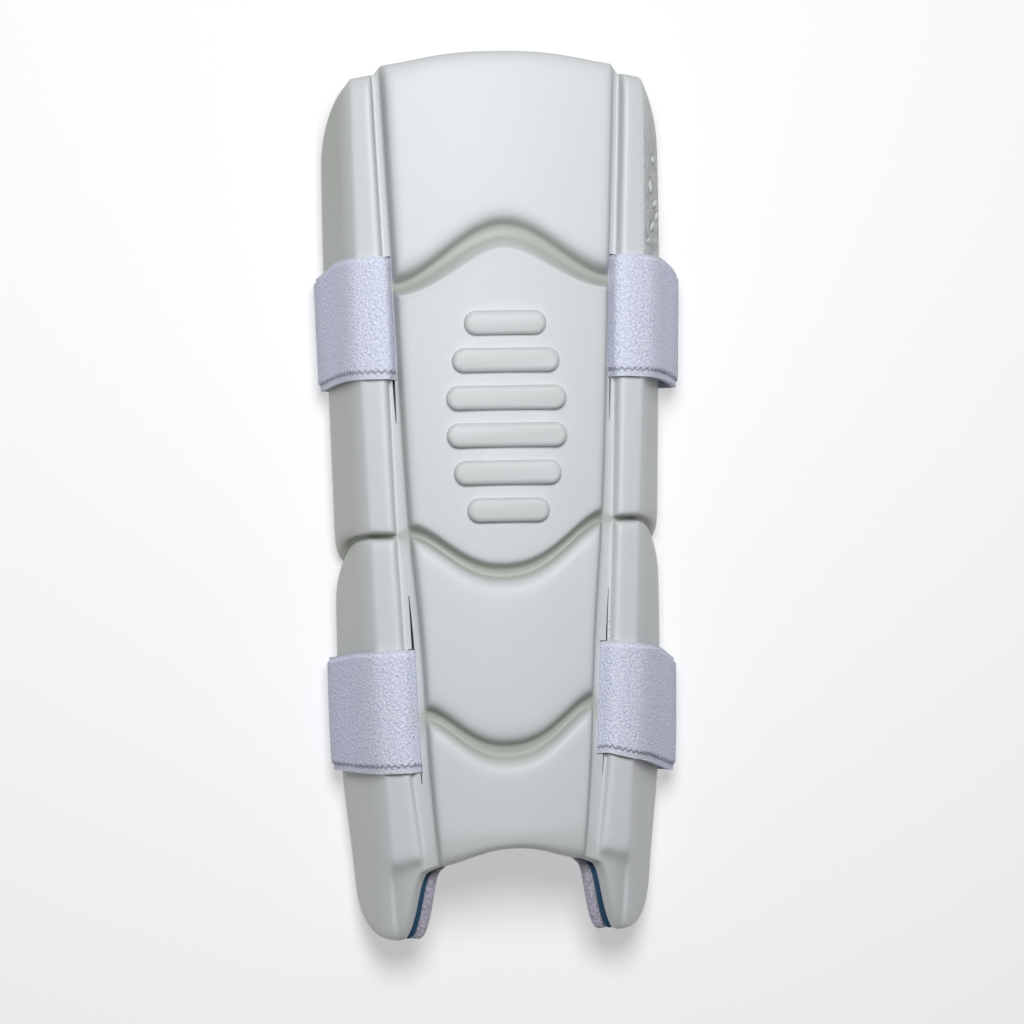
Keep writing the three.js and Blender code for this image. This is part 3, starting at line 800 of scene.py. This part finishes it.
# %% Creases on the right side above the upper strap
CREASES = table("at across lift wide long turn", [
    (0.1194, 0.58, 0.48, 0.8, 1.2, 0.1),
    (0.15, 0.39, 0.35, 0.9, 2.3, 0.15),
    (0.17, 0.63, 0.52, 0.9, 1.5, -0.7),
    (0.184, 0.75, 0.6, 0.8, 1.5, -0.3),
    (0.1975, 0.48, 0.41, 0.8, 2.0, -0.5),
    (0.2147, 0.26, 0.24, 0.7, 1.3, -0.6),
])
CREASE_HEIGHT = 1.6
CREASE_SINK = 0.1


def crease(fold):
    s = LENGTH * fold["at"]
    x, z = relief_point({"zone": "side", **fold}, section(s))
    radii = (fold["wide"], fold["long"], CREASE_HEIGHT)
    return lump((x - CREASE_SINK, Y_OF_ELBOW - s, z), radii, (0, 0, fold["turn"]), 3)


for fold in CREASES:
    cut_with(moulding, crease(fold), "UNION")
smooth(moulding)
print("finished moulding:", len(moulding.data.polygons), "faces")

# %% [markdown]
# ## The blue sheet and the lining
# On the real guard both lie behind the foam and show only beside its wrist tips. They could be copies
# of its underside made thicker. Here the same grids are laid on arches further in, so that the gaps between
# the layers are known. Subdivision gives the lining its rolled edge.

# %% Layers behind the foam


def layer(name, near, far, places, count, shown):
    """A layer from near to far under the foam, of which a strip shows beside the foam's wrist tips."""
    first, last = LINES[0], LINES[-1]
    lines = []
    for share in np.linspace(1, 0, count):
        lines.append({key: mix(first[key], last[key], share) for key in first})

    def spot(place, cut, by):
        reach = {"foot": cut["foot"] - shown, "ridge": cut["ridge"] - shown}
        return arch_point(place, {**cut, **reach}, inset(cut["inner"], by))

    def face(by):
        return [row_of(places, line, lambda p, cut: spot(p, cut, by)) for line in lines]

    return shell(name, face(near), face(far))


BACKING_THICKNESS = 1.2
LINING_THICKNESS = 3
LAYER_PLACES = [PLACES[i] for i in (0, 2, 4, 7, 10, 12, 13, 14, 15, 16, 17, 19, 20, 21, 22, 25)]
backing = layer("blue_sheet", CLEARANCE, CLEARANCE + BACKING_THICKNESS, LAYER_PLACES, 24, 0.7)
subdivide(backing, 1)
smooth(backing)
under_backing = 2 * CLEARANCE + BACKING_THICKNESS
faces_of_lining = (under_backing, under_backing + LINING_THICKNESS)
lining = layer("towelling_lining", *faces_of_lining, LAYER_PLACES, 40, 2.1)
subdivide(lining, 2)
smooth(lining)
print("layers:", len(backing.data.polygons), len(lining.data.polygons), "faces")

# %% [markdown]
# ## The elastic straps
# Brushed loop elastic has a raised pile between two flat woven edges, and the pile ends in small
# scallops. A cloth simulation could lay it round the guard, but the strap is stretched tight, so its way is
# known. It is a mapped band along that way, and the pile is raised in the mesh itself, so that its thick
# edge can be seen.

# %% Smooth path of a strap
STEPS_BETWEEN_STOPS = (2, 3, 3, 3, 8, 10, 22, 10, 16, 18, 18, 16, 6, 6, 24, 24)


def curve_through(stops, counts):
    """A smooth curve through the stops, with a fixed number of steps between each two."""
    ends = np.vstack((2 * stops[0] - stops[1], stops, 2 * stops[-1] - stops[-2]))
    out = []
    for i, count in enumerate(counts):
        p0, p1, p2, p3 = ends[i : i + 4]
        d0, d1, d2 = (max(np.linalg.norm(b - a), 1e-6) ** 0.5 for a, b in ((p0, p1), (p1, p2), (p2, p3)))
        m1 = (p2 - p1) + d1 * ((p1 - p0) / d0 - (p2 - p0) / (d0 + d1))
        m2 = (p2 - p1) + d1 * ((p3 - p2) / d2 - (p3 - p1) / (d1 + d2))
        for t in np.arange(count) / count:
            out.append(
                (2 * t**3 - 3 * t**2 + 1) * p1 + (t**3 - 2 * t**2 + t) * m1
                + (3 * t**2 - 2 * t**3) * p2 + (t**3 - t**2) * m2
            )
    out.append(stops[-1])
    return np.array(out)


print("steps on each side of a strap:", sum(STEPS_BETWEEN_STOPS))

# %% Height of the pile at a place of the strap, in millimetres
WEAVE = 1.25
PILE = 0.66
LOWER_SELVAGE = 2.2
UPPER_SELVAGE = 0.9
SCALLOP = 2.0
SCALLOP_DEPTH = 0.8


def pile_height(along, down, seed):
    wave = abs((along / SCALLOP) % 1 - 0.5) * 2
    low_edge = STRAP_WIDTH - LOWER_SELVAGE + SCALLOP_DEPTH * (wave - 0.5)
    rise = clamped((low_edge - down) / 0.4) * clamped((down - UPPER_SELVAGE) / 0.7)
    spot = Vector(((along + down) * 0.6, (down - along) * 0.8, seed))
    clump = noise.noise(spot) + 0.5 * noise.noise(spot * 1.9)
    return rise * (PILE + 0.05 * clump)


# %% Rows of a strap
STRAP_ROWS = 88


def strap_row(strap, down, seed):
    """The top points, the under points and the places on the flat cloth, all from left to right."""
    s = strap["start"] * LENGTH + down
    path = curve_through(strap_path(s), STEPS_BETWEEN_STOPS)
    along = np.concatenate(([0], np.cumsum(np.linalg.norm(np.diff(path[:, :2], axis=0), axis=1))))
    pile = [[pile_height(sign * a, down, seed) for a in along] for sign in (-1, 1)]
    tops = [sideways(path, np.array(p) + WEAVE - STRAP_THICKNESS / 2) for p in pile]
    left, right = (both_sides(strap, s, top) for top in tops)
    under = sideways(path, np.full(len(path), -STRAP_THICKNESS / 2))
    laid = [(-a, down) for a in along[:0:-1]] + [(a, down) for a in along]
    return left[: len(path) - 1] + right[len(path) - 1 :], both_sides(strap, s, under), laid


# %% Cloth coordinates, and a value of 1 where the strap has turned down the side, where shade is painted


def lay_cloth(band, spots):
    uv = band.data.uv_layers[0] if band.data.uv_layers else band.data.uv_layers.new(name="cloth")
    for loop in band.data.loops:
        a, d = spots[loop.vertex_index % len(spots)]
        uv.data[loop.index].uv = (a * MM, d * MM)


def mark_turned(band):
    stops = np.cumsum((0,) + STEPS_BETWEEN_STOPS)
    turned = np.interp(np.arange(stops[-1] + 1), (stops[7], stops[9]), (0, 1))
    turned = np.concatenate((turned[:0:-1], turned))
    value = band.data.attributes.new("turned", "FLOAT", "POINT")
    value.data.foreach_set("value", np.tile(turned, 2 * STRAP_ROWS))


# %% Straps


def strap_band(strap, seed):
    rows = [strap_row(strap, share * STRAP_WIDTH, seed) for share in np.linspace(1, 0, STRAP_ROWS)]
    tops, unders, laid = zip(*rows)
    band = shell(strap["name"] + "_elastic", tops, unders)
    lay_cloth(band, [spot for row in laid for spot in row])
    mark_turned(band)
    smooth(band, 60)
    return band


upper_elastic = strap_band(STRAPS[0], 3.0)
lower_elastic = strap_band(STRAPS[1], 11.0)
print("straps:", len(upper_elastic.data.polygons), len(lower_elastic.data.polygons), "faces")

# %% [markdown]
# ## Hook tabs
# A strip of hook tape closes each strap behind the guard. Its hooks could be modelled one by one, but they
# are hidden and very fine. So the tape is a plain strip in its solid's box, with rounded corners and edges.

# %% Hook tabs
TAB_CORNER = 2.5
TAB_EDGE = 0.25


def hook_tab(node):
    low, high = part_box(node)
    tab = block_between(node.replace("hook_tab", "hook_tape"), low, high)
    bpy.ops.mesh.bevel(offset=TAB_CORNER * MM, segments=6)
    bpy.ops.mesh.select_all(action="SELECT")
    bpy.ops.mesh.bevel(offset=TAB_EDGE * MM, segments=2)
    bpy.ops.object.mode_set(mode="OBJECT")
    smooth(tab)
    return tab


upper_tape = hook_tab("upper_hook_tab")
lower_tape = hook_tab("lower_hook_tab")
print("hook tapes:", len(upper_tape.data.polygons), len(lower_tape.data.polygons), "faces")

# %% [markdown]
# ## Finishes
# Foam, elastic, towelling and hook tape differ less in colour than in their fine structure. Pictures of each
# could be wrapped round the pieces. Noise on a piece's own coordinates needs no picture, shows no seam and
# stays sharp from near.

# %% Node helpers


def new_material(name, color, roughness):
    material = bpy.data.materials.new(name)
    material.use_nodes = True
    shader = material.node_tree.nodes["Principled BSDF"]
    shader.inputs["Base Color"].default_value = (*color, 1)
    shader.inputs["Roughness"].default_value = roughness
    return material, shader


def fill(material, socket, value):
    """The value is another node's socket or a plain value."""
    if isinstance(value, bpy.types.NodeSocket):
        material.node_tree.links.new(value, socket)
    else:
        socket.default_value = value


def node(material, kind, **inputs):
    made = material.node_tree.nodes.new("ShaderNode" + kind)
    for key, value in inputs.items():
        fill(material, made.inputs[key], value)
    return made


# %% Helpers for a number, a value of the mesh, a colour and a fine relief


def number(material, kind, a, b):
    made = node(material, "Math")
    made.operation = kind
    for socket, value in zip(made.inputs, (a, b)):
        fill(material, socket, value)
    return made.outputs[0]


def mesh_value(material, name):
    made = node(material, "Attribute")
    made.attribute_name = name
    return made.outputs["Fac"]


def roughen(material, shader, height, strength, distance):
    bump = node(material, "Bump", Height=height, Strength=strength, Distance=distance)
    material.node_tree.links.new(bump.outputs[0], shader.inputs["Normal"])
    return bump


def two_tones(material, share, low, high, span=(0.0, 1.0)):
    """A colour between two, as the value goes through the span."""
    ramp = material.node_tree.nodes.new("ShaderNodeValToRGB")
    for stop, at, color in zip(ramp.color_ramp.elements, span, (low, high)):
        stop.position = at
        stop.color = (*color, 1)
    material.node_tree.links.new(share, ramp.inputs["Fac"])
    return ramp.outputs["Color"]


# %% [markdown]
# ### Foam
# The moulded skin is white and satin, and light sinks a little into it. Shade is painted into its colour in
# the grooves, in the notch, at the wrist steps and on the sides, from the mesh's own value of how deep a
# place lies.
# Another value says where the skin is creased.

# %% Foam
foam, shader = new_material("moulded_foam", (0.74, 0.77, 0.74), 0.47)
# Painted shade: the colour goes from off-white on the pads to a darker olive grey as the shade value rises
tone = two_tones(foam, mesh_value(foam, "hollow"), (0.685, 0.7, 0.715), (0.43, 0.45, 0.4))
foam.node_tree.links.new(tone, shader.inputs["Base Color"])
shader.inputs["Specular IOR Level"].default_value = 0.38
shader.inputs["Subsurface Weight"].default_value = 0.15
shader.inputs["Subsurface Radius"].default_value = (1, 1, 0.8)
shader.inputs["Subsurface Scale"].default_value = 0.002

# %% Skin of the foam: slow waves, fine pores, and folds where it is creased
where = node(foam, "TexCoord").outputs["Object"]
cloudy = node(foam, "TexNoise", Vector=where, Scale=60.0, Detail=3.0).outputs["Fac"]
waves = node(foam, "Bump", Height=cloudy, Strength=0.25, Distance=0.0006).outputs[0]
fine = node(foam, "TexNoise", Vector=where, Scale=900.0, Detail=2.0).outputs["Fac"]
pores = node(foam, "Bump", Height=fine, Strength=0.12, Distance=0.0001, Normal=waves).outputs[0]
wrinkles = node(foam, "TexNoise", Vector=where, Scale=230.0, Detail=3.0, Distortion=1.2).outputs["Fac"]
folded = number(foam, "MULTIPLY", wrinkles, mesh_value(foam, "creased"))
folds = node(foam, "Bump", Height=folded, Strength=1.0, Distance=0.003, Normal=pores).outputs[0]
foam.node_tree.links.new(folds, shader.inputs["Normal"])
print("foam:", len(foam.node_tree.nodes), "nodes")

# %% [markdown]
# ### The loops are mottled from lilac to white, and shade is painted as a dark line where they end at the flat woven border.
# The loops are mottled from lilac to white, and a dark seam lies where they end at the flat woven border.
# The border could be a second material on its own faces. The pattern is laid on the flat cloth's coordinates
# instead, with the same scallops as the raised pile, so that both always meet.

# %% Elastic with its mottled loops
elastic, shader = new_material("loop_elastic", (0.62, 0.63, 0.82), 0.95)
cloth = node(elastic, "UVMap").outputs["UV"]
slanted = node(elastic, "Mapping", Vector=cloth, Rotation=(0, 0, -0.8), Scale=(1350, 1350, 1)).outputs[0]
loops = node(elastic, "TexNoise", Vector=slanted, Scale=1.0, Detail=2.0).outputs["Fac"]
tone = two_tones(elastic, loops, (0.47, 0.5, 0.78), (0.99, 1.0, 1.0), (0.2, 0.8))
roughen(elastic, shader, loops, 0.9, 0.0007)
shader.inputs["Sheen Weight"].default_value = 0.3
shader.inputs["Specular IOR Level"].default_value = 0.2

# %% Where the cloth is border, and where shade is painted along the scallops' edge
FLAT_TOP = 0.8
BORDER_PAST = 0.3
SHADE_PAST = 0.1
SHADE_WIDTH = 0.5
on_cloth = node(elastic, "SeparateXYZ", Vector=cloth).outputs
zigzag = number(elastic, "PINGPONG", on_cloth["X"], SCALLOP / 2 * MM)
scallops = number(elastic, "MULTIPLY", zigzag, 2 * SCALLOP_DEPTH / SCALLOP)
edge = number(elastic, "ADD", on_cloth["Y"], scallops)
past = number(elastic, "SUBTRACT", edge, (STRAP_WIDTH - LOWER_SELVAGE + SCALLOP_DEPTH / 2) * MM)
near_top = number(elastic, "LESS_THAN", on_cloth["Y"], FLAT_TOP * MM)
on_border = number(elastic, "MAXIMUM", number(elastic, "GREATER_THAN", past, BORDER_PAST * MM), near_top)
away = number(elastic, "ABSOLUTE", number(elastic, "SUBTRACT", past, SHADE_PAST * MM), 0.0)
faded = number(elastic, "MINIMUM", number(elastic, "DIVIDE", away, SHADE_WIDTH * MM), 1.0)
scallop_shade = number(elastic, "SUBTRACT", 1.0, faded)

# %% The border's own tint, and painted shade on the turned sides and along the scallops' edge
TURNED_SHADE = 0.35
SCALLOP_SHADE_TINT = 0.75


def tinted(share, tone, color):
    """The tone goes over to the colour by the share."""
    made = node(elastic, "Mix")
    made.data_type = "RGBA"
    elastic.node_tree.links.new(share, made.inputs["Factor"])
    elastic.node_tree.links.new(tone, made.inputs[6])
    made.inputs[7].default_value = (*color, 1)
    return made.outputs[2]


tone = tinted(on_border, tone, (0.7, 0.73, 0.82))
# Painted shade: the strap is darker where it has turned down the guard's sides
turned_shade = number(elastic, "MULTIPLY", mesh_value(elastic, "turned"), TURNED_SHADE)
tone = tinted(turned_shade, tone, (0.4, 0.41, 0.62))
# Painted shade: a dark line along the scallops where the pile ends
tone = tinted(number(elastic, "MULTIPLY", scallop_shade, SCALLOP_SHADE_TINT), tone, (0.2, 0.21, 0.3))
elastic.node_tree.links.new(tone, shader.inputs["Base Color"])
print("elastic:", len(elastic.node_tree.nodes), "nodes")

# %% [markdown]
# ### Blue sheet, lining and hook tape
# Little is seen of these three. Their threads and grain could be modelled, but one fine pattern each is
# enough at this size: grain on the sheet foam, small loops on the towelling, and barbs on the tape.

# %% Blue sheet
blue, shader = new_material("blue_foam_sheet", (0.008, 0.055, 0.12), 0.7)
where = node(blue, "TexCoord").outputs["Object"]
grain = node(blue, "TexNoise", Vector=where, Scale=1500.0).outputs["Fac"]
roughen(blue, shader, grain, 0.4, 0.0002)

# %% Lining
towelling, shader = new_material("towelling_lining", (0.5, 0.47, 0.55), 0.95)
where = node(towelling, "TexCoord").outputs["Object"]
terry = node(towelling, "TexVoronoi", Vector=where, Scale=900.0).outputs["Distance"]
tone = two_tones(towelling, terry, (0.58, 0.55, 0.64), (0.34, 0.32, 0.4))
towelling.node_tree.links.new(tone, shader.inputs["Base Color"])
roughen(towelling, shader, terry, 0.7, 0.0005).invert = True
shader.inputs["Sheen Weight"].default_value = 0.3

# %% Hook tape
hook, shader = new_material("hook_tape", (0.7, 0.7, 0.74), 0.75)
where = node(hook, "TexCoord").outputs["Object"]
barbs = node(hook, "TexVoronoi", Vector=where, Scale=1100.0).outputs["Distance"]
roughen(hook, shader, barbs, 0.8, 0.0005)

# %% [markdown]
# ## Places in the frame
# Nothing on the guard moves on its own, so every piece rides on the root. Each stands for one solid and has
# its slot. The foam, the sheet and the lining are soft all through.

# %% Each piece gets its finish and its place in the frame, and the solid that it stands for is hidden
PIECES = (
    (moulding, foam, "face_moulding", "moulded_foam"),
    (backing, blue, "backing_sheet", "blue_foam_sheet"),
    (lining, towelling, "lining_pad", "towelling_lining"),
    (upper_elastic, elastic, "upper_strap", "loop_elastic"),
    (lower_elastic, elastic, "lower_strap", "loop_elastic"),
    (upper_tape, hook, "upper_hook_tab", "hook_tape"),
    (lower_tape, hook, "lower_hook_tab", "hook_tape"),
)
for piece, finish, cad_node, slot in PIECES:
    piece.data.materials.clear()
    piece.data.materials.append(finish)
    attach(piece, "root")
    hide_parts(cad_node)
print(len(PIECES), "pieces placed")

# %% [markdown]
# ## Floor and light
# The photo shows the guard cut out on white, so the floor under it is plain paper, which glows a little to
# stay white and to fill the shadows from below. Several lamps could copy a studio. One round lamp above the
# elbow end gives the photo's soft shadows below each pad, and a weak warm sky lightens the rest.

# %% Floor
bpy.ops.object.select_all(action="DESELECT")
bpy.ops.mesh.primitive_plane_add(size=6)
floor = bpy.context.object
floor.name = "floor"
paper, shader = new_material("floor_paper", (0.6, 0.6, 0.6), 0.9)
shader.inputs["Emission Color"].default_value = (1, 1, 1, 1)
shader.inputs["Emission Strength"].default_value = 0.42
floor.data.materials.append(paper)

# %% Lights
KEY_PLACE = Vector((-0.03, 0.24, 0.7))
LIT_PLACE = Vector((0, 0, 0.02))
light = bpy.data.lights.new("key", "AREA")
light.shape = "DISK"
light.size = 0.34
light.energy = 4.6
light.color = (0.95, 0.975, 1.0)
key = bpy.data.objects.new("key", light)
bpy.context.collection.objects.link(key)
key.location = KEY_PLACE
key.rotation_euler = (LIT_PLACE - KEY_PLACE).to_track_quat("-Z", "Y").to_euler()
print("key lamp:", round(light.energy, 2), "W")

# %% Sky
world = bpy.data.worlds.new("studio")
world.use_nodes = True
world.node_tree.nodes["Background"].inputs["Color"].default_value = (1, 0.98, 0.92, 1)
world.node_tree.nodes["Background"].inputs["Strength"].default_value = 0.13
bpy.context.scene.world = world
bpy.context.scene.view_settings.view_transform = "Standard"
